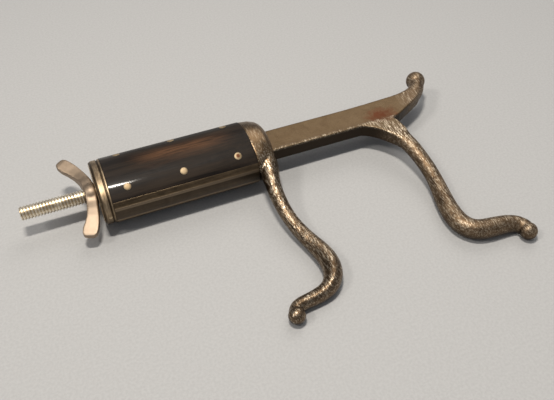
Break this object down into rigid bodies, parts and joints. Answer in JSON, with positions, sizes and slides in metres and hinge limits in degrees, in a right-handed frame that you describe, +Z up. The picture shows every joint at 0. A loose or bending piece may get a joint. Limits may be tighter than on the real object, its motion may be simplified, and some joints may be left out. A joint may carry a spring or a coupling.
{
  "type": "horse mouth gag",
  "caption": "Oval horn and brass handle with a sliding bar, a curved knobbed jaw arm on each, a curled hook at the bar's end, and a captive wing nut on a screw that spreads them.",
  "frame": {"origin": "middle of the flat strip under the handle, on the surface that the gag lies on, below the long axis", "axes": "+X along the handle, screw and bar, from the wing nut to the jaw arms; +Z up from the surface; the arms reach towards -Y"},
  "size_m": [0.2789, 0.152, 0.0318],
  "materials": {
    "dark_steel": "worn, browned",
    "liner_brass": "tarnished",
    "horn": "polished dark horn with a reddish streak",
    "rivet_brass": "worn pale",
    "ferrule_brass": "polished, darkened in the grooves",
    "forged_steel": "hammered, dark brown",
    "bar_steel": "filed, satin, browned",
    "screw_steel": "bright, worn",
    "nut_bronze": "satin, pinkish"
  },
  "bodies": {
    "handle": {"near_side_rail": "dark_steel", "far_side_rail": "dark_steel", "top_liner": "liner_brass", "bottom_liner": "liner_brass", "top_scale": "horn", "bottom_scale": "horn", "scale_rivets": "rivet_brass", "rear_ferrule": "ferrule_brass", "ferrule_pins": "rivet_brass", "end_plate": "ferrule_brass", "thrust_washer": "screw_steel", "front_collar": "forged_steel", "fixed_arm": "forged_steel"},
    "slider": {"slide_bar": "bar_steel", "moving_arm": "forged_steel", "curl_hook": "forged_steel", "draw_screw": "screw_steel", "screw_pin": "screw_steel"},
    "nut": {"wing_nut": "nut_bronze", "nut_retaining_ring": "screw_steel", "ring_pin": "screw_steel"}
  },
  "joints": [
    {"name": "nut_turn", "type": "hinge", "parent": "handle", "child": "nut", "pos_m": [-0.0506, 0, 0.0158], "axis": [1, 0, 0], "range_deg": [-4680, 10800]},
    {"name": "bar_slide", "type": "slide", "parent": "handle", "child": "slider", "axis": [1, 0, 0], "range_m": [-0.054, 0.0234]}
  ],
  "couplings": [
    {"joint": "nut_turn", "follows": "bar_slide", "rad_per_m": -3490.7}
  ]
}
